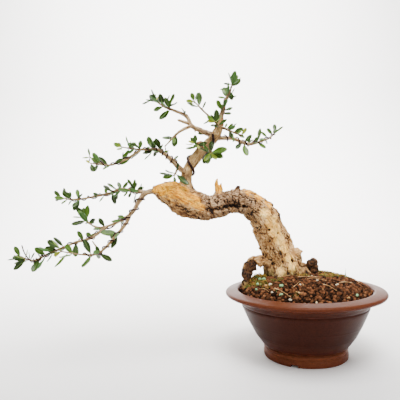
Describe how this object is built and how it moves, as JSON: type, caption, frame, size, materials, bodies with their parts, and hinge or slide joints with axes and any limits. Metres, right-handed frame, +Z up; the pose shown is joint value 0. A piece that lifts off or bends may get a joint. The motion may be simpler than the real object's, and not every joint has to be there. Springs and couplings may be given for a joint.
{
  "type": "olive bonsai",
  "caption": "Small-leaved olive tree with a thick arched trunk, a raised leader and a long cascading side, wired and standing in gravelly soil in a round unglazed pot with a wide rim.",
  "frame": {"origin": "centre of the part's bounding box in plan, at the level of the pot's foot ring", "axes": "+Z up; +X along the longest extent, from the tip of the cascading branch towards the pot; -Y is the side that the tree is shown from"},
  "size_m": [0.4198, 0.18, 0.3238],
  "materials": {
    "stoneware": "unglazed, fine grained, satin on its edges",
    "screen": "moulded mesh",
    "soil": "loose fired clay granules",
    "bark": "old rough bark with bare deadwood",
    "leaves": "leathery leaves on thin woody twigs",
    "wire": "soft wire, dark brown anodised"
  },
  "bodies": {
    "root": {"pot": "stoneware", "drain_screen": "screen", "soil": "soil", "trunk": "bark", "branch_low": "leaves", "branch_mid": "leaves", "branch_upper_left": "leaves", "branch_left": "leaves", "branch_right": "leaves", "branch_top": "leaves", "twig_thin": "leaves", "twig_inner": "leaves", "twig_right": "leaves", "twig_front": "leaves", "twig_side": "leaves", "wire_leader": "wire", "wire_low": "wire", "wire_low_fork": "wire", "wire_low_inner": "wire", "wire_low_outer": "wire", "wire_mid": "wire", "wire_left": "wire", "wire_right": "wire"}
  },
  "joints": []
}
